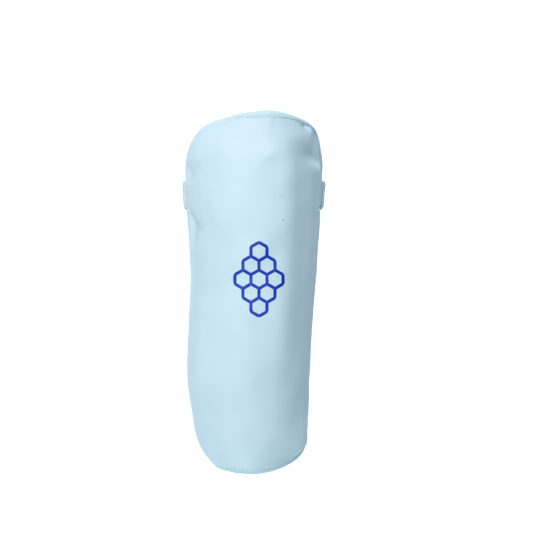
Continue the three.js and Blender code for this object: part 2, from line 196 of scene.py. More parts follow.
# Section through the pad: the way runs over the face, round the rim at 0 to -rimRound, and over the back
def section(rim, way):
    if way > 0:
        shoulder = guard["shoulderReach"] * rim["crown"]
        u = min(way / rim["crown"], 1.0)
        s = min(way / shoulder, 1.0)
        rise = guard["padThickness"] - 2 * rimRadius
        wide = rise * rim["wide"]
        height = 2 * rimRadius + wide * (1 - (1 - u) ** 2) + (rise - wide) * s * s * (3 - 2 * s)
        slope = 2 * wide * (1 - u) / rim["crown"] + (rise - wide) * 6 * s * (1 - s) / shoulder
        size = math.hypot(slope, 1)
        return rimRadius + way, height, (-slope / size, 1 / size)
    if way >= -rimRound:
        turn = math.pi / 2 + way / rimRadius
        cos, sin = math.cos(turn), math.sin(turn)
        return rimRadius * (1 - cos), rimRadius * (1 + sin), (-cos, sin)
    return rimRadius - way - rimRound, 0.0, (0.0, -1.0)


# Where a point of the section lies on the guard: its angle round the arch, its place along, and its height
def placeOf(rim, way, depth=0.0):
    inset, height, normal = section(rim, way)
    share = (inset - depth * normal[0]) / rim["reach"]
    return rim["angle"] * (1 - share), mix(rim["y"], rim["spineY"], share), height - depth * normal[1]


# Dents and bulges of the face: across and along as shares of the arch's half angle and of the half length,
# reach across and along in millimetres, turn in degrees, depth in millimetres
dents = [
    (0.69, 0.75, 10.0, 6.0, -12, 4.0), (0.88, 0.67, 8.5, 3.6, -18, -3.6), (0.6, 0.925, 5.0, 3.0, -25, 0.8),
    (0.68, 0.895, 3.0, 5.0, 10, -1.2), (0.47, 0.55, 12.9, 4.0, 15, 0.45), (0.84, 0.41, 6.0, 5.0, 25, 1.0),
    (0.6, 0.2, 5.0, 34.0, 0, 1.5), (0.76, -0.84, 6.5, 12.0, 0, -2.7), (0.72, -0.86, 13.0, 15.0, 0, -2.6),
    (-0.8, 0.655, 9.0, 4.6, 8, 2.3), (-0.85, 0.6, 7.0, 3.0, 0, -0.9), (-0.81, 0.385, 9.5, 3.8, -26, 3.4),
    (-0.82, 0.31, 9.0, 5.5, -12, 1.6), (-0.84, 0.12, 16.0, 24.0, 0, 1.4), (-0.86, -0.57, 6.0, 4.0, -20, 0.75),
]


def dentAt(angle, y, rows):
    radius = archAt(y)[2] + guard["padThickness"]
    total = 0.0
    for across, along, reachAcross, reachAlong, turn, depth in rows:
        away = y - along * guard["halfLength"]
        side = (angle - across * halfAngle) * radius
        cos, sin = math.cos(math.radians(turn)), math.sin(math.radians(turn))
        u = (side * cos + away * sin) / reachAcross
        v = (away * cos - side * sin) / reachAlong
        if u * u + v * v < 18:
            total += depth * math.exp(-(u * u + v * v) / 2)
    return total


# The solid's place in the frame gives the shift from the guard's own lines
strapsAt = {"upper": 0.538, "lower": -0.485}
lapMiddle = 3.0
low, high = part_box("upper_fastener")
shift = (low + high) / 2 - Vector((lapMiddle, strapsAt["upper"] * guard["halfLength"], 0)) * mm
places = rimPlaces(guard["sideSteps"], guard["capSteps"])
rimLow = min(bent(*placeOf(rim, -rimRound * u)).z for rim in places for u in (0.6, 0.7, 0.8, 0.9, 1.0))
shift.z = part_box("back_panel")[0].z - rimLow * mm


def placed(point):
    return point * mm + shift


camera = {"middle": (9.3, 18.4), "width": 383.2, "planeHeight": 12.0, "distance": 4000.0}
cameraData = bpy.data.cameras.new("overhead")
cameraData.sensor_width = 36
cameraData.lens = 36 * (camera["distance"] - camera["planeHeight"]) / camera["width"]
cameraData.clip_end = 10
overhead = bpy.data.objects.new("overhead", cameraData)
overhead.location = placed(Vector((*camera["middle"], 0)))
overhead.location.z = camera["distance"] * mm
scene.collection.objects.link(overhead)
scene.camera = overhead
print("camera", [round(x, 4) for x in overhead.location])


def meshObject(name, vertices, faces, merge=0.0):
    mesh = bpy.data.meshes.new(name)
    mesh.from_pydata([tuple(v) for v in vertices], [], faces)
    if merge:
        work = bmesh.new()
        work.from_mesh(mesh)
        bmesh.ops.remove_doubles(work, verts=work.verts, dist=merge)
        work.to_mesh(mesh)
        work.free()
    mesh.polygons.foreach_set("use_smooth", [True] * len(mesh.polygons))
    piece = bpy.data.objects.new(name, mesh)
    scene.collection.objects.link(piece)
    return piece


# Turns all faces of a piece the same way: outwards, or upwards where it is a flat piece
def evenFaces(piece, upward=False):
    work = bmesh.new()
    work.from_mesh(piece.data)
    bmesh.ops.recalc_face_normals(work, faces=work.faces)
    if upward and sum(face.normal.z for face in work.faces) < 0:
        bmesh.ops.reverse_faces(work, faces=work.faces)
    work.to_mesh(piece.data)
    work.free()


def ringObject(name, rings):
    count = len(rings[0])
    faces = []
    for k in range(len(rings) - 1):
        for i in range(count):
            j = (i + 1) % count
            faces.append((k * count + i, (k + 1) * count + i, (k + 1) * count + j, k * count + j))
    return meshObject(name, [placed(p) for ring in rings for p in ring], faces, merge=2e-6)


# Cloth pass: a coarse copy of the cover is cut a little large, pinned at the seam and blown up softly
cover = {
    "voxel": 0.005,
    "frames": 20,
    "pressure": 0.9,
    "slack": 0.006,
    "cap": 1.2,  # the furthest that a point may move
    "spread": 24,  # how many points of the cloth each point of the cover follows
    "pinned": 4.0,  # held by the seam up to this far from it, and free from the next
    "free": 17.0,
    "mass": 0.25,
    "stretchStiffness": 12,
    "shearStiffness": 6,
    "bendStiffness": 0.4,
    # rings of the coarse copy, as shares of the way from the seam to the spine
    "faceShares": [1, 0.9, 0.8, 0.7, 0.6, 0.5, 0.4, 0.3, 0.2, 0.1, 0.0],
    "backShares": [0.12, 0.25, 0.5, 0.75, 1],
}


# From the seam to the spine, over the face and round the rim over the back
def faceWay(rim):
    return rim["reach"] - rimRadius - rim["roll"]


def backWay(rim):
    return rim["roll"] + rimRound + rim["reach"] - rimRadius


def coarseCover(coarse):
    rings = []
    for share in cover["faceShares"]:
        ways = [share * faceWay(rim) for rim in coarse]
        rings.append([bent(*placeOf(rim, rim["roll"] + way)) for rim, way in zip(coarse, ways)])
    for share in cover["backShares"]:
        ways = [share * backWay(rim) for rim in coarse]
        rings.append([bent(*placeOf(rim, rim["roll"] - way)) for rim, way in zip(coarse, ways)])
    blank = ringObject("cover_blank", rings)
    remesh = blank.modifiers.new("remesh", "REMESH")
    remesh.mode = "VOXEL"
    remesh.voxel_size = cover["voxel"]
    graph = bpy.context.evaluated_depsgraph_get()
    mesh = bpy.data.meshes.new_from_object(blank.evaluated_get(graph))
    cloth = bpy.data.objects.new("cover_cloth", mesh)
    scene.collection.objects.link(cloth)
    bpy.data.objects.remove(blank)
    return cloth


def pinAtSeam(cloth, coarse):
    seam = KDTree(len(coarse))
    for i, rim in enumerate(coarse):
        seam.insert(placed(bent(*placeOf(rim, rim["roll"]))), i)
    seam.balance()
    sewn = cloth.vertex_groups.new(name="sewn")
    for vertex in cloth.data.vertices:
        own = (vertex.co - shift) / mm
        middle, _, inner, axis = archAt(round(own.y, 3))
        height = math.hypot(own.x - middle, own.z - axis) - inner
        distance = seam.find(vertex.co)[2] / mm
        held = 1 - smooth(distance, cover["pinned"], cover["free"]) if height > rimRadius else 1.0
        sewn.add([vertex.index], held, "REPLACE")


def clothMoves():
    coarse = rimPlaces(40, 30)
    cloth = coarseCover(coarse)
    pinAtSeam(cloth, coarse)
    settings = cloth.modifiers.new("cloth", "CLOTH").settings
    settings.quality = 6
    settings.mass = cover["mass"]
    settings.tension_stiffness = cover["stretchStiffness"]
    settings.compression_stiffness = cover["stretchStiffness"]
    settings.shear_stiffness = cover["shearStiffness"]
    settings.bending_stiffness = cover["bendStiffness"]
    settings.use_pressure = True
    settings.uniform_pressure_force = cover["pressure"]
    settings.shrink_min = -cover["slack"]
    settings.shrink_max = -cover["slack"]
    settings.vertex_group_mass = "sewn"
    settings.effector_weights.gravity = 0
    before = [v.co.copy() for v in cloth.data.vertices]
    for number in range(1, cover["frames"] + 1):
        scene.frame_set(number)
    after = bpy.data.meshes.new_from_object(cloth.evaluated_get(bpy.context.evaluated_depsgraph_get()))
    moves = []
    tree = KDTree(len(before))
    for i, start in enumerate(before):
        move = (after.vertices[i].co - start) / mm
        if move.length > cover["cap"]:
            move *= cover["cap"] / move.length
        moves.append(move)
        tree.insert(start, i)
    tree.balance()
    scene.frame_set(1)
    bpy.data.objects.remove(cloth)
    sizes = sorted(move.length for move in moves)
    print("cloth pass:", len(sizes), "points, middle move", round(sizes[len(sizes) // 2], 2), "mm")
    return tree, moves


clothTree, clothMoved = clothMoves()


def clothMove(point):
    if clothTree is None:
        return Vector()
    total, weights = Vector(), 0.0
    for _, index, distance in clothTree.find_n(placed(point), cover["spread"]):
        weight = math.exp(-(distance / (1.3 * cover["voxel"])) ** 2)
        total += clothMoved[index] * weight
        weights += weight
    return total / weights


# Small creases and puckers, in the same columns as the dents. They run right up to the seam
creases = [
    (0.19, 0.968, 1.2, 4.0, -8, -0.45), (0.235, 0.965, 1.1, 3.5, -12, 0.4), (0.572, 0.95, 2.4, 0.9, -20, 1.9),
    (0.636, 0.932, 1.0, 2.4, -30, 1.7), (0.612, 0.917, 2.4, 0.8, -35, 1.2), (0.715, 0.912, 1.7, 3.6, -6, -2.6),
    (0.82, 0.872, 1.5, 2.2, -10, 0.7), (0.85, 0.825, 1.5, 2.0, -5, 0.7), (0.9, 0.742, 1.4, 2.2, 0, 0.6),
    (0.95, 0.462, 1.5, 1.3, 0, 1.1), (-0.93, -0.56, 1.2, 1.2, 0, 0.7),
]
surface = {
    "sag": 0.13,  # slow unevenness of the foam
    "sagScale": 34.0,
    "ripple": 0.03,  # finer unevenness of the leather
    "rippleScale": 8.0,
    "gather": 0.22,  # gathers where the cover is eased into the seam
    "gatherPitch": 6.5,
    "gatherReach": 5.0,
    "backRipple": 0.12,
    "backRippleScale": 16.0,
    "lipLeast": 0.4,  # the narrowest that the roll into the seam may be
}
# How far from the seam each of them starts, and how far from it each is full
eases = {
    "shoulder": (1.2, 16.0),
    "dent": (1.2, 8.0),
    "crease": (0.2, 1.6),
    "gather": (0.0, 1.0),
    "swell": (1.0, 12.0),
    "backRipple": (1.0, 6.0),
}


def lipDepth(rim, distance):
    u = 1 - min(distance / (guard["lip"] * rim["tuck"] + surface["lipLeast"]), 1.0)
    return rim["tuck"] * (1 - math.sqrt(max(1 - u * u, 0.0)))


def unevenness(point):
    slow = noise.noise(point / surface["sagScale"]) * surface["sag"]
    return slow + noise.noise(point / surface["rippleScale"] + Vector((7.3, 1.9, 4.2))) * surface["ripple"]


def gatherAt(rim, distance, seed):
    wave = noise.noise(Vector((rim["arc"] / surface["gatherPitch"], seed, 0.4)))
    return surface["gather"] * wave * math.exp(-distance / surface["gatherReach"])


arc = 0.0
seamLine = [bent(*placeOf(rim, rim["roll"])) for rim in places]
for i, rim in enumerate(places):
    rim["arc"] = arc
    arc += (seamLine[(i + 1) % len(places)] - seamLine[i]).length
print("seam length", round(arc), "mm")


@lru_cache(maxsize=None)
def shoulderRise(across, along):
    total = 0.0
    for step in (-1, -0.5, 0, 0.5, 1):
        u = min(abs(abs(across) + step * guard["shoulderSoftness"]), 1.0)
        peak = guard["shoulderAt"]
        total += (u / peak) ** 2 if u < peak else ((1 - u) / (1 - peak)) ** 4
    return smoothAt(guard["shoulders"], 1 if across < 0 else 2, along) * total / 5


def facePoint(rim, distance):
    way = rim["roll"] + distance
    depth = lipDepth(rim, distance)
    angle, y, height = placeOf(rim, way, depth)
    rise = shoulderRise(round(angle / halfAngle, 3), round(y / guard["halfLength"], 3))
    height += rise * smooth(distance, *eases["shoulder"])
    height -= dentAt(angle, y, dents) * smooth(distance, *eases["dent"])
    height -= dentAt(angle, y, creases) * smooth(distance, *eases["crease"])
    height -= gatherAt(rim, distance, 1.7) * smooth(distance, *eases["gather"])
    point = bent(angle, y, height)
    lift = smooth(distance, *eases["swell"])
    middle, _, _, axis = archAt(y)
    outward = Vector((point.x - middle, 0, point.z - axis)).normalized()
    return point + clothMove(point) * lift + outward * unevenness(point) * lift


def backPoint(rim, distance):
    way = rim["roll"] - distance
    depth = lipDepth(rim, distance) + gatherAt(rim, distance, 8.1) * smooth(distance, *eases["gather"])
    ripple = noise.noise(bent(*placeOf(rim, way)) / surface["backRippleScale"]) * surface["backRipple"]
    return bent(*placeOf(rim, way, depth + ripple * smooth(distance, *eases["backRipple"])))


pad = {"faceRings": 62, "spread": 1.75, "rimRings": 26, "backRings": 16, "coreRings": 6, "gap": 0.3}


def faceRings():
    rings = []
    for k in range(pad["faceRings"], -1, -1):
        share = (k / pad["faceRings"]) ** pad["spread"]
        rings.append([facePoint(rim, share * faceWay(rim)) for rim in places])
    return rings


def hiddenRings(depth):
    rings = []
    for k in range(pad["coreRings"] + 1):
        share = k / pad["coreRings"]
        rings.append([bent(*placeOf(rim, rim["roll"] - backWay(rim) * share**1.6, depth)) for rim in places])
    return rings


def backRings():
    rings = []
    for k in range(pad["rimRings"]):
        share = (k / pad["rimRings"]) ** 1.5
        rings.append([backPoint(rim, share * (rim["roll"] + rimRound)) for rim in places])
    for k in range(pad["backRings"] + 1):
        share = k / pad["backRings"]
        ways = [rim["roll"] + rimRound + share * (rim["reach"] - rimRadius) for rim in places]
        rings.append([backPoint(rim, way) for rim, way in zip(places, ways)])
    return rings


facePad = ringObject("face_cover", faceRings() + hiddenRings(guard["backWall"] + pad["gap"]))
backPanel = ringObject("back_cover", list(reversed(hiddenRings(guard["backWall"]))) + backRings())
print("covers:", len(facePad.data.polygons), "and", len(backPanel.data.polygons), "faces")


# Threads: short rounded stitches along a line of points, each lifted off the surface by its normal
def stitches(name, line, lifts, pitch, length, radius):
    vertices, faces = [], []
    sides, steps = 6, 5
    lengths = [0.0]
    for a, b in zip(line, line[1:]):
        lengths.append(lengths[-1] + (b - a).length)

    def at(distance):
        low, high = 0, len(lengths) - 1
        while high - low > 1:
            i = (low + high) // 2
            if lengths[i] <= distance:
                low = i
            else:
                high = i
        share = (distance - lengths[low]) / max(lengths[high] - lengths[low], 1e-9)
        return line[low].lerp(line[high], share), lifts[low].lerp(lifts[high], share).normalized()

    count = int(lengths[-1] / pitch)
    for n in range(count):
        start = n * pitch + (pitch - length) / 2
        base = len(vertices)
        for step in range(steps):
            share = step / (steps - 1)
            point, lift = at(start + share * length)
            ahead = (at(start + share * length + 0.1)[0] - point).normalized()
            side = lift.cross(ahead).normalized()
            thick = radius * math.sqrt(max(1 - (2 * share - 1) ** 2, 0.06))
            centre = point + lift * (radius * 0.6 * math.sin(math.pi * share) - radius * 0.3)
            for k in range(sides):
                turn = 2 * math.pi * k / sides
                vertices.append(placed(centre + (side * math.cos(turn) + lift * math.sin(turn)) * thick))
        for step in range(steps - 1):
            for k in range(sides):
                j = (k + 1) % sides
                a = base + step * sides
                faces.append((a + k, a + j, a + sides + j, a + sides + k))
        faces.append(tuple(base + k for k in reversed(range(sides))))
        faces.append(tuple(base + (steps - 1) * sides + k for k in range(sides)))
    return meshObject(name, vertices, faces)


seamThread = {"pitch": 3.3, "length": 2.5, "radius": 0.2, "depth": 0.85}  # the depth is a share of the tuck
threadLine, threadLift = [], []
for rim in places + places[:1]:
    depth = seamThread["depth"] * rim["tuck"]
    point = bent(*placeOf(rim, rim["roll"], depth))
    above = bent(*placeOf(rim, rim["roll"], depth - 1))
    threadLine.append(point)
    threadLift.append((above - point).normalized())
seamStitches = stitches("seam_stitches", threadLine, threadLift, seamThread["pitch"], seamThread["length"],
                        seamThread["radius"])

# Straps: elastic webbing that leaves the seam, rounds the rim and lies flat on the floor
straps = {
    "width": 20.0,
    "thickness": 1.5,
    "gap": 0.3,
    "lapEnd": 22.0,
    "lap": 38.0,
    "stepRun": 7.0,
    "patchThickness": 2.0,
    "patchWidth": 17.0,
    "curveSteps": 34,
    "widthSteps": 40,
    "longEndSteps": 24,
    "shortEndSteps": (6, 14, 16),  # before the step up to the lap, on it, and along the lap
    "rootDepth": 1.2,
    "edgeRound": 0.7,
    "cutEnd": 0.6,  # the cut ends are pressed to this share of the thickness
    "cornerPull": 0.6,  # how far the edges of the webbing lie closer to the rim than its middle
    "bulges": {"upper": (1.1, 1.6), "lower": (0.15, 0.0)},  # left and right, as shares of the thickness
}
floorLift = -shift.z / mm  # the floor's height in the guard's own lines


def rootLine(side, y, bulge, edge):
    share = (y / guard["halfLength"] - spineWrist) / (spineElbow - spineWrist)
    rim = sidePlace(side, share)
    centre = bent(*placeOf(rim, -rimRound / 2, rimRadius))
    seam = bent(*placeOf(rim, rim["roll"]))
    start = math.atan2(seam.z - centre.z, side * (seam.x - centre.x))
    floor = straps["thickness"] / 2
    close = rimRadius + straps["gap"] + floor
    sag = centre.z - floorLift - close - floor
    line = []
    for i in range(straps["curveSteps"] + 1):
        u = i / straps["curveSteps"]
        turn = mix(start, -math.pi / 2, u)
        reach = mix(rimRadius - straps["rootDepth"], close, smooth(u, 0.03, 0.32))
        slack = bulge * straps["thickness"] * (1 - straps["cornerPull"] * edge**10)
        out = reach * math.cos(turn) + slack * math.sin(math.pi * u)
        line.append((centre.x + side * out, centre.z - sag * u + reach * math.sin(turn)))
    return line


def flatRun(line, x, steps):
    startX, z = line[-1]
    return [(mix(startX, x, (i + 1) / steps), z) for i in range(steps)]


def strapLine(name, side, y):
    edge = abs(y - strapsAt[name] * guard["halfLength"]) / (straps["width"] / 2)
    line = rootLine(side, y, straps["bulges"][name][0 if side < 0 else 1], edge)
    if side < 0:
        return line + flatRun(line, straps["lapEnd"], straps["longEndSteps"])
    floorSteps, riseSteps, lapSteps = straps["shortEndSteps"]
    stepAt = straps["lapEnd"] + straps["thickness"] + straps["stepRun"]
    rise = straps["thickness"] + straps["patchThickness"] + 2 * straps["gap"]
    line += flatRun(line, stepAt, floorSteps)
    low = line[-1][1]
    for i in range(riseSteps):
        u = (i + 1) / riseSteps
        line.append((stepAt - straps["stepRun"] * u, low + rise * smooth(u, 0.0, 1.0)))
    return line + flatRun(line, straps["lapEnd"] - straps["lap"], lapSteps)


def strapObject(name, key, side):
    middleY = strapsAt[key] * guard["halfLength"]
    across = straps["widthSteps"]
    lines = [strapLine(key, side, middleY + straps["width"] * (k / across - 0.5)) for k in range(across + 1)]
    count = len(lines[0])
    top, bottom, uvs = [], [], []
    for k, line in enumerate(lines):
        y = middleY + straps["width"] * (k / across - 0.5)
        edge = straps["width"] / 2 - abs(y - middleY)
        rounded = 1 - min(edge / straps["edgeRound"], 1.0)
        thick = straps["thickness"] / 2 * math.sqrt(max(1 - rounded**2, 0.16))
        travelled = 0.0
        for i, (x, z) in enumerate(line):
            before, after = line[max(i - 1, 0)], line[min(i + 1, count - 1)]
            run = Vector((after[0] - before[0], after[1] - before[1])).normalized()
            if i:
                travelled += math.hypot(x - line[i - 1][0], z - line[i - 1][1])
            normal = Vector((-run.y, 0, run.x)) * (-side)
            tip = thick if i < count - 1 else thick * straps["cutEnd"]
            top.append(Vector((x, y, z)) - normal * tip)
            bottom.append(Vector((x, y, z)) + normal * tip)
            uvs.append((travelled * mm, (y - middleY) * mm))
    rows = across + 1
    vertices = [placed(p) for p in top + bottom]
    size = rows * count
    faces = []
    for k in range(across):
        for i in range(count - 1):
            a, b, c, d = k * count + i, k * count + i + 1, (k + 1) * count + i + 1, (k + 1) * count + i
            faces.append((a, b, c, d))
            faces.append((size + d, size + c, size + b, size + a))
    for i in range(count - 1):
        faces.append((i + 1, i, size + i, size + i + 1))
        a = across * count + i
        faces.append((a, a + 1, size + a + 1, size + a))
    for k in range(across):
        a, b = k * count, (k + 1) * count
        faces.append((a, b, size + b, size + a))
        a, b = a + count - 1, b + count - 1
        faces.append((b, a, size + a, size + b))
    piece = meshObject(name, vertices, faces)
    evenFaces(piece)
    layer = piece.data.uv_layers.new(name="cloth")
    for loop in piece.data.loops:
        layer.data[loop.index].uv = uvs[loop.vertex_index % size]
    return piece


# The patch between the two ends of a strap: two bands of tape pressed together, with a groove where they meet
patch = {
    "steps": 40,
    "acrossSteps": 12,
    "edge": [(0.1, 0.3), (0.1, 0.8), (-0.25, 1.0), (0.1, 1.2), (0.1, 1.7)],  # outwards, up
    "endShare": 0.9,  # the size of the cut ends
    "wobble": 0.07,
    "wobbleScale": 3.0,
}


def patchObject(name, key):
    middleY = strapsAt[key] * guard["halfLength"]
    low = floorLift + straps["thickness"] + straps["gap"]
    half = straps["patchWidth"] / 2
    thick = straps["patchThickness"]
    shares = [u / patch["acrossSteps"] for u in range(patch["acrossSteps"] + 1)]
    profile = [(mix(-half, half, share), 0.0) for share in shares]
    profile += [(half + out, up) for out, up in patch["edge"]]
    profile += [(mix(half, -half, share), thick) for share in shares]
    profile += [(-half - out, up) for out, up in reversed(patch["edge"])]
    length = straps["lap"] - 2 * straps["gap"]
    steps = patch["steps"]
    vertices, faces = [], []
    for i in range(steps + 1):
        x = lapMiddle + length * (i / steps - 0.5)
        inward = patch["endShare"] if i in (0, steps) else 1.0
        for y, z in profile:
            spot = Vector((x / patch["wobbleScale"], y / patch["wobbleScale"], z * 2 + middleY))
            wobble = patch["wobble"] * noise.noise(spot)
            raised = mix(thick / 2, z, inward)
            vertices.append(placed(Vector((x, middleY + y * mix(1.0, inward, 0.1) + wobble, low + raised))))
    count = len(profile)
    for i in range(steps):
        for k in range(count):
            j = (k + 1) % count
            faces.append((i * count + k, i * count + j, (i + 1) * count + j, (i + 1) * count + k))
    faces.append(tuple(reversed(range(count))))
    faces.append(tuple(steps * count + k for k in range(count)))
    piece = meshObject(name, vertices, faces)
    evenFaces(piece)
    return piece


# A box of stitches that holds the patch to the short end
lapThread = {"endInset": 1.5, "sideInset": 1.0, "steps": 20, "pitch": 2.6, "length": 2.0, "radius": 0.2}


def lapStitches(name, key):
    middleY = strapsAt[key] * guard["halfLength"]
    height = floorLift + 2 * straps["thickness"] + straps["patchThickness"] + 2 * straps["gap"]
    left = straps["lapEnd"] - straps["lap"] + lapThread["endInset"]
    right = straps["lapEnd"] - lapThread["endInset"]
    aside = straps["patchWidth"] / 2 - lapThread["sideInset"]
    front, back = middleY - aside, middleY + aside
    corners = [(left, front), (right, front), (right, back), (left, back), (left, front)]
    shares = [i / lapThread["steps"] for i in range(lapThread["steps"] + 1)]
    line = []
    for (x0, y0), (x1, y1) in zip(corners, corners[1:]):
        line += [Vector((mix(x0, x1, share), mix(y0, y1, share), height)) for share in shares]
    lifts = [Vector((0, 0, 1))] * len(line)
    return stitches(name, line, lifts, lapThread["pitch"], lapThread["length"], lapThread["radius"])


# A short dark bar of close stitches over the lower edge of the webbing, where it comes out of the seam: painted
# shade, a near-black thread standing in for the shadow notch at the strap's lower end
shadeBar = {"from": 8, "to": 17, "pitch": 0.55, "length": 0.5, "radius": 0.55}


def shadeBarStitches(name, key, side):
    y = strapsAt[key] * guard["halfLength"] - straps["width"] / 2
    line = rootLine(side, y, straps["bulges"][key][0 if side < 0 else 1], 1.0)
    points = [Vector((x, y, z)) for x, z in line[shadeBar["from"]:shadeBar["to"]]]
    lifts = [Vector((0, -1, 0))] * len(points)
    return stitches(name, points, lifts, shadeBar["pitch"], shadeBar["length"], shadeBar["radius"])


strapPieces, patchPieces, lapThreads, shadeBars = {}, {}, {}, []
for key in ("upper", "lower"):
    strapPieces[key + "_strap"] = strapObject(key + "_elastic", key, -1)
    strapPieces[key + "_strap_tab"] = strapObject(key + "_elastic_tab", key, 1)
    patchPieces[key + "_fastener"] = patchObject(key + "_hook_and_loop", key)
    lapThreads[key] = lapStitches(key + "_lap_stitches", key)
    # Painted shade: a near-black bar of thread at each strap's lower end, where there is only a shadow notch
    shadeBars.append(shadeBarStitches(key + "_left_painted_shade_bar", key, -1))
    shadeBars.append(shadeBarStitches(key + "_right_painted_shade_bar", key, 1))
print("straps:", sum(len(p.data.polygons) for p in strapPieces.values()), "faces")

# Print: a plain honeycomb of outlined cells, laid on the face
honeycomb = {
    "middle": (3.9, 9.3),
    "rows": [(2, 1), (1, 2), (0, 3), (-1, 2), (-2, 1)],  # row number, cells in it
    "cellRadius": 6.6,
    "line": 2.15,
    "lineSteps": 8,
    "dropFrom": 200.0,  # the flat outlines fall on the face from this height
    "lift": 0.08,
    "thickness": 0.12,
}


# The outlines drawn flat: half a line's width inside each cell, and the other half outside the whole pattern
def honeycombOutlines():
    radius = honeycomb["cellRadius"]
    across = radius * math.sqrt(3)
    centres = []
    for row, count in honeycomb["rows"]:
        for n in range(count):
            x = (n - (count - 1) / 2) * across
            centres.append(Vector((honeycomb["middle"][0] + x, honeycomb["middle"][1] + row * radius * 1.5)))
    turns = [math.radians(60 * k) for k in range(6)]
    corner = [Vector((math.sin(turn), math.cos(turn))) * radius for turn in turns]
    inset = 1 - honeycomb["line"] / 2 / (radius * math.cos(math.radians(30)))
    vertices, faces = [], []

    def band(outerA, outerB, innerA, innerB):
        base = len(vertices)
        for i in range(honeycomb["lineSteps"] + 1):
            u = i / honeycomb["lineSteps"]
            for v in (0, 0.5, 1):
                vertices.append(outerA.lerp(outerB, u).lerp(innerA.lerp(innerB, u), v))
        for i in range(honeycomb["lineSteps"]):
            for v in range(2):
                a = base + i * 3 + v
                faces.append((a, a + 3, a + 4, a + 1))

    def known(point, points):
        return any((point - other).length < 0.1 for other in points)

    outside = []
    for centre in centres:
        for k in range(6):
            a, b = centre + corner[k], centre + corner[(k + 1) % 6]
            band(a, b, centre + corner[k] * inset, centre + corner[(k + 1) % 6] * inset)
            neighbour = a + b - centre
            if not known(neighbour, centres):
                band(b, a, neighbour + (b - neighbour) * inset, neighbour + (a - neighbour) * inset)
                outside.append((a, neighbour))
                outside.append((b, neighbour))
    # a small wedge fills each outer corner where only one cell meets it
    for point, neighbour in outside:
        for other, second in outside:
            closer = known(other, [point]) and not known(second, [neighbour])
            if closer and len([c for c in centres if (c - point).length < radius + 0.1]) == 1:
                base = len(vertices)
                ends = [point + (neighbour - point) * (1 - inset), point + (second - point) * (1 - inset)]
                turn = (ends[0] - point).cross(ends[1] - point)
                if turn > 0:
                    vertices.extend([point, *ends])
                    faces.append((base, base + 1, base + 2))
    return vertices, faces


def honeycombPrint():
    vertices, faces = honeycombOutlines()
    tree = BVHTree.FromObject(facePad, bpy.context.evaluated_depsgraph_get())
    laid = []
    for point in vertices:
        above = placed(Vector((point.x, point.y, 0)))
        above.z = honeycomb["dropFrom"] * mm
        spot, normal, _, _ = tree.ray_cast(above, Vector((0, 0, -1)))
        laid.append(spot + normal * honeycomb["lift"] * mm)
    piece = meshObject("face_print", laid, faces, merge=2e-5)
    evenFaces(piece, upward=True)
    solid = piece.modifiers.new("thickness", "SOLIDIFY")
    solid.thickness = honeycomb["thickness"] * mm
    solid.offset = 0
    return piece


facePrint = honeycombPrint()
print("print:", len(facePrint.data.polygons), "faces")


# Materials
def newMaterial(name, colour, roughness):
    material = bpy.data.materials.new(name)
    material.use_nodes = True
    shader = material.node_tree.nodes["Principled BSDF"]
    shader.inputs["Base Color"].default_value = (*colour, 1)
    shader.inputs["Roughness"].default_value = roughness
    return material, material.node_tree, shader


def addNode(tree, kind, settings=None, **inputs):
    node = tree.nodes.new(kind)
    for key, value in (settings or {}).items():
        setattr(node, key, value)
    for key, value in inputs.items():
        socket = node.inputs[key.replace("_", " ")]
        if isinstance(value, bpy.types.NodeSocket):
            tree.links.new(value, socket)
        else:
            socket.default_value = value
    return node


def bumped(tree, shader, height, strength, distance, below=None):
    node = addNode(tree, "ShaderNodeBump", Height=height, Strength=strength, Distance=distance * mm)
    if below is not None:
        tree.links.new(below, node.inputs["Normal"])
    tree.links.new(node.outputs["Normal"], shader.inputs["Normal"])
    return node.outputs["Normal"]


def toned(tree, factor, dark, light):
    node = tree.nodes.new("ShaderNodeMix")
    node.data_type = "RGBA"
    tree.links.new(factor, node.inputs["Factor"])
    node.inputs[6].default_value = (*dark, 1)
    node.inputs[7].default_value = (*light, 1)
    return node


def ranged(tree, value, low, high, toLow, toHigh):
    node = addNode(tree, "ShaderNodeMapRange", {"interpolation_type": "SMOOTHSTEP"})
    for key, number in (("From Min", low), ("From Max", high), ("To Min", toLow), ("To Max", toHigh)):
        node.inputs[key].default_value = number
    tree.links.new(value, node.inputs["Value"])
    return node.outputs["Result"]


# Grain that both leathers share: how fine each part is, and the depth of the folds and pores in millimetres
grain = {"mottle": 24.0, "wear": 70.0, "folds": 260.0, "foldDepth": 0.35, "pores": 1250.0, "poreDepth": 0.12}
faceLeather = {
    "dark": (0.58, 0.748, 0.828),
    "light": (0.602, 0.77, 0.85),
    "roughness": (0.4, 0.52),
    "shine": 0.34,
    "grain": 0.12,
    # x, y, full radius, faded radius, colour
    "marks": [(21.2, 51.5, 0.35, 0.8, (0.37, 0.5, 0.54)), (20.4, 68.4, 0.2, 3.2, (0.54, 0.7, 0.79))],
}
backLeather = {
    "dark": (0.57, 0.735, 0.81),
    "light": (0.6, 0.765, 0.84),
    "roughness": (0.48, 0.6),
    "shine": 0.12,
    "grain": 0.2,
    "marks": [],
}


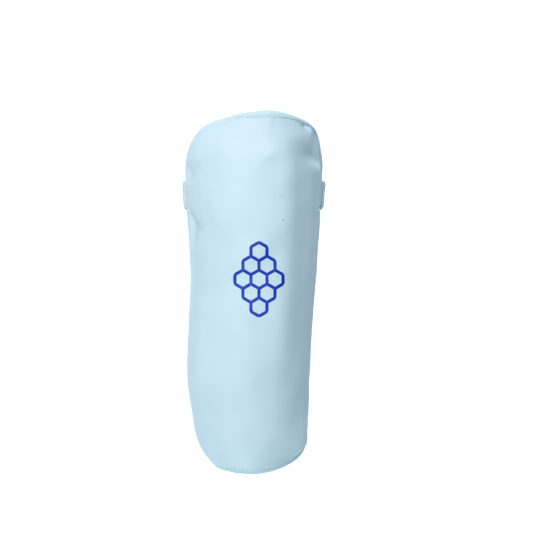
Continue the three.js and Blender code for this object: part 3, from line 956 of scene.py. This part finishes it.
def leather(name, look):
    material, tree, shader = newMaterial(name, look["light"], 0.45)
    place = addNode(tree, "ShaderNodeTexCoord").outputs["Object"]
    mottle = addNode(tree, "ShaderNodeTexNoise", Vector=place, Scale=grain["mottle"], Detail=3, Roughness=0.55)
    tone = toned(tree, ranged(tree, mottle.outputs["Fac"], 0.3, 0.7, 0.0, 1.0), look["dark"], look["light"])
    colour = tone.outputs[2]
    for x, y, full, faded, stain in look["marks"]:
        spot = placed(Vector((x, y, 0)))
        flat = addNode(tree, "ShaderNodeVectorMath", {"operation": "MULTIPLY"})
        tree.links.new(place, flat.inputs[0])
        flat.inputs[1].default_value = (1, 1, 0)
        away = addNode(tree, "ShaderNodeVectorMath", {"operation": "DISTANCE"})
        tree.links.new(flat.outputs[0], away.inputs[0])
        away.inputs[1].default_value = (spot.x, spot.y, 0)
        mark = ranged(tree, away.outputs["Value"], full * mm, faded * mm, 1.0, 0.0)
        dirt = toned(tree, mark, (0, 0, 0), stain)
        tree.links.new(colour, dirt.inputs[6])
        colour = dirt.outputs[2]
    tree.links.new(colour, shader.inputs["Base Color"])
    wear = addNode(tree, "ShaderNodeTexNoise", Vector=place, Scale=grain["wear"], Detail=4.0, Roughness=0.6)
    tree.links.new(ranged(tree, wear.outputs["Fac"], 0.3, 0.7, *look["roughness"]), shader.inputs["Roughness"])
    pores = addNode(tree, "ShaderNodeTexVoronoi", Vector=place, Scale=grain["pores"])
    folds = addNode(tree, "ShaderNodeTexNoise", Vector=place, Scale=grain["folds"], Detail=5.0, Roughness=0.6)
    under = bumped(tree, shader, folds.outputs["Fac"], look["grain"], grain["foldDepth"])
    bumped(tree, shader, pores.outputs["Distance"], look["grain"], grain["poreDepth"], under)
    shader.inputs["Specular IOR Level"].default_value = look["shine"]
    return material


elasticLook = {
    "colour": (0.61, 0.77, 0.84),
    "roughness": 0.85,
    "sheen": 0.2,
    "ribs": 260.0,
    "weft": 330.0,
    "fluff": 900.0,
}


def elasticCloth(name, look):
    colour = look["colour"]
    material, tree, shader = newMaterial(name, colour, look["roughness"])
    place = addNode(tree, "ShaderNodeTexCoord").outputs["UV"]
    along, across = {"bands_direction": "Y"}, {"bands_direction": "X"}
    ribs = addNode(tree, "ShaderNodeTexWave", along, Vector=place, Scale=look["ribs"], Distortion=0.2)
    weft = addNode(tree, "ShaderNodeTexWave", across, Vector=place, Scale=look["weft"], Distortion=0.4)
    fluff = addNode(tree, "ShaderNodeTexNoise", Vector=place, Scale=look["fluff"], Detail=3.0)
    dark = tuple(c * 0.86 for c in colour)
    tone = toned(tree, ranged(tree, ribs.outputs["Fac"], 0.1, 0.6, 0.0, 1.0), dark, colour)
    tree.links.new(tone.outputs[2], shader.inputs["Base Color"])
    under = bumped(tree, shader, ribs.outputs["Fac"], 0.5, 0.25)
    under = bumped(tree, shader, weft.outputs["Fac"], 0.4, 0.12, under)
    bumped(tree, shader, fluff.outputs["Fac"], 0.3, 0.1, under)
    shader.inputs["Sheen Weight"].default_value = look["sheen"]
    return material


tapeLook = {"colour": (0.7, 0.76, 0.78), "roughness": 0.95, "loops": 900.0, "fuzz": 1500.0, "sheen": 0.4}


def hookTape(name, look):
    colour = look["colour"]
    material, tree, shader = newMaterial(name, colour, look["roughness"])
    place = addNode(tree, "ShaderNodeTexCoord").outputs["Object"]
    loops = addNode(tree, "ShaderNodeTexVoronoi", Vector=place, Scale=look["loops"])
    fuzz = addNode(tree, "ShaderNodeTexNoise", Vector=place, Scale=look["fuzz"], Detail=4.0)
    dark = tuple(c * 0.7 for c in colour)
    tone = toned(tree, ranged(tree, loops.outputs["Distance"], 0.1, 0.6, 1.0, 0.0), dark, colour)
    tree.links.new(tone.outputs[2], shader.inputs["Base Color"])
    under = bumped(tree, shader, loops.outputs["Distance"], 0.8, 0.3)
    bumped(tree, shader, fuzz.outputs["Fac"], 0.5, 0.2, under)
    shader.inputs["Sheen Weight"].default_value = look["sheen"]
    return material


inkLook = {"colour": (0.002, 0.05, 0.5), "pale": (0.017, 0.08, 0.55), "roughness": 0.42, "patches": 300.0}


def printInk(name, look):
    material, tree, shader = newMaterial(name, look["colour"], look["roughness"])
    place = addNode(tree, "ShaderNodeTexCoord").outputs["Object"]
    patchy = addNode(tree, "ShaderNodeTexNoise", Vector=place, Scale=look["patches"], Detail=4.0)
    tone = toned(tree, ranged(tree, patchy.outputs["Fac"], 0.3, 0.75, 0.0, 1.0), look["colour"], look["pale"])
    tree.links.new(tone.outputs[2], shader.inputs["Base Color"])
    bumped(tree, shader, patchy.outputs["Fac"], 0.1, 0.1)
    return material


# The bar thread's near-black colour is painted shade for the shadow notch under each strap's lower end
threadLook = {"seam": (0.55, 0.74, 0.81), "shadeBarColour": (0.12, 0.17, 0.2), "roughness": 0.7, "strands": 2500.0}


def sewingThread(name, colour):
    material, tree, shader = newMaterial(name, colour, threadLook["roughness"])
    place = addNode(tree, "ShaderNodeTexCoord").outputs["Object"]
    strands = addNode(tree, "ShaderNodeTexNoise", Vector=place, Scale=threadLook["strands"], Detail=2.0)
    tone = toned(tree, strands.outputs["Fac"], tuple(c * 0.75 for c in colour), colour)
    tree.links.new(tone.outputs[2], shader.inputs["Base Color"])
    return material


facePad.data.materials.append(leather("face_leather", faceLeather))
backPanel.data.materials.append(leather("back_leather", backLeather))
elastic = elasticCloth("elastic_cloth", elasticLook)
tape = hookTape("hook_tape", tapeLook)
thread = sewingThread("thread", threadLook["seam"])
shadeThread = sewingThread("painted_shade_thread", threadLook["shadeBarColour"])
facePrint.data.materials.append(printInk("blue_ink", inkLook))
seamStitches.data.materials.append(thread)

for piece, node, slotName in ((facePad, "face_pad", "face_leather"), (backPanel, "back_panel", "back_leather")):
    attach(piece, "root")
    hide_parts(node)
for node, piece in strapPieces.items():
    piece.data.materials.append(elastic)
    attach(piece, "root")
    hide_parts(node)
for node, piece in patchPieces.items():
    piece.data.materials.append(tape)
    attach(piece, "root")
    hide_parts(node)
for piece in lapThreads.values():
    piece.data.materials.append(thread)
    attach(piece, "root")
# The painted shade bars get the near-black thread
for piece in shadeBars:
    piece.data.materials.append(shadeThread)
    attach(piece, "root")
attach(facePrint, "root")
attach(seamStitches, "root")
print("pieces dressed")

# Floor and light. Each light hangs at a tilt from straight up: to the left of the picture, and to its top
studio = {
    "floorSize": 6.0,
    "floorDrop": 0.2,  # keeps the paper just clear of the webbing that lies on it
    "floorColour": 0.12,
    "floorGlow": 1.17,
    "floorTint": (0.86, 0.95, 1.0),
    "tone": 0.8,  # the picture's gamma
    "sky": (0.5, 0.8, 1.0),
    "skyStrength": 0.02,
    # name, tilt left, tilt up, distance, size, watts, colour
    "lights": [
        ("key_softbox", 30, 24, 1.1, 0.6, 1.8, (1, 0.4, 0.3)),
        ("crest_softbox", 5, 20, 1.1, 0.3, 5.3, (0.99, 0.92, 0.99)),
        ("front_softbox", 12, 0, 1.1, 0.3, 1.4, (0.5, 1, 0.85)),
        ("crown_softbox", 5, 60, 1.1, 0.6, 5.25, (0.98, 0.99, 0.95)),
        ("foot_softbox", 15, -50, 1.1, 0.5, 5.8, (0.94, 0.98, 1)),
        ("flank_softbox", -62, -25, 1.1, 0.5, 0.35, (0.75, 0.9, 1)),
    ],
}
floorHalf, floorHeight = studio["floorSize"] / 2, -studio["floorDrop"] * mm
corners = [(-floorHalf, -floorHalf), (floorHalf, -floorHalf), (floorHalf, floorHalf), (-floorHalf, floorHalf)]
floor = meshObject("floor", [(x, y, floorHeight) for x, y in corners], [(0, 1, 2, 3)])
floorMaterial, _, floorShader = newMaterial("floor_paper", (studio["floorColour"],) * 3, 0.9)
floorShader.inputs["Emission Color"].default_value = (*studio["floorTint"], 1)
floorShader.inputs["Emission Strength"].default_value = studio["floorGlow"]
floorShader.inputs["Specular IOR Level"].default_value = 0
floor.data.materials.append(floorMaterial)

world = bpy.data.worlds.new("soft_sky")
world.use_nodes = True
world.node_tree.nodes["Background"].inputs["Color"].default_value = (*studio["sky"], 1)
world.node_tree.nodes["Background"].inputs["Strength"].default_value = studio["skyStrength"]
scene.world = world


def hangSoftbox(name, left, up, distance, size, watts, colour):
    lightData = bpy.data.lights.new(name, "AREA")
    lightData.size = size
    lightData.energy = watts
    lightData.color = colour
    light = bpy.data.objects.new(name, lightData)
    tiltLeft, tiltUp = math.radians(left), math.radians(up)
    ahead = math.cos(tiltLeft)
    towards = Vector((-math.sin(tiltLeft), ahead * math.sin(tiltUp), ahead * math.cos(tiltUp)))
    light.location = towards * distance
    light.rotation_mode = "QUATERNION"
    light.rotation_quaternion = towards.to_track_quat("Z", "Y")
    scene.collection.objects.link(light)


for row in studio["lights"]:
    hangSoftbox(*row)
scene.view_settings.view_transform = "Standard"
scene.view_settings.gamma = studio["tone"]
print("studio lit")
